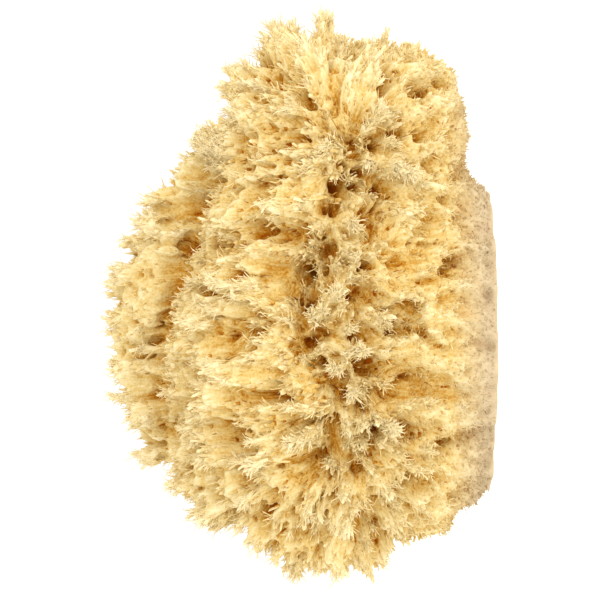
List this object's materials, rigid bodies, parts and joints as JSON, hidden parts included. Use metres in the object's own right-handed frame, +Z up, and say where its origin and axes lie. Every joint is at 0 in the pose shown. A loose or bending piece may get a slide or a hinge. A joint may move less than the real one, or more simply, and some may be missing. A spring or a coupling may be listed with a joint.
{
  "type": "sea sponge",
  "caption": "Dried natural wool sea sponge, a lobed dome of frayed tufts and open pores that stands on its flat cut base.",
  "frame": {"origin": "on the flat cut base, under the middle of the sponge's box", "axes": "+Z up from the cut, +X along the longest side, -Y the side with the front lobes"},
  "size_m": [0.17, 0.1258, 0.1203],
  "materials": {
    "spongin_wool": "matt, fibrous, pale straw yellow at the tips and golden brown in the pores"
  },
  "bodies": {
    "root": {"sponge": "spongin_wool"}
  },
  "joints": []
}
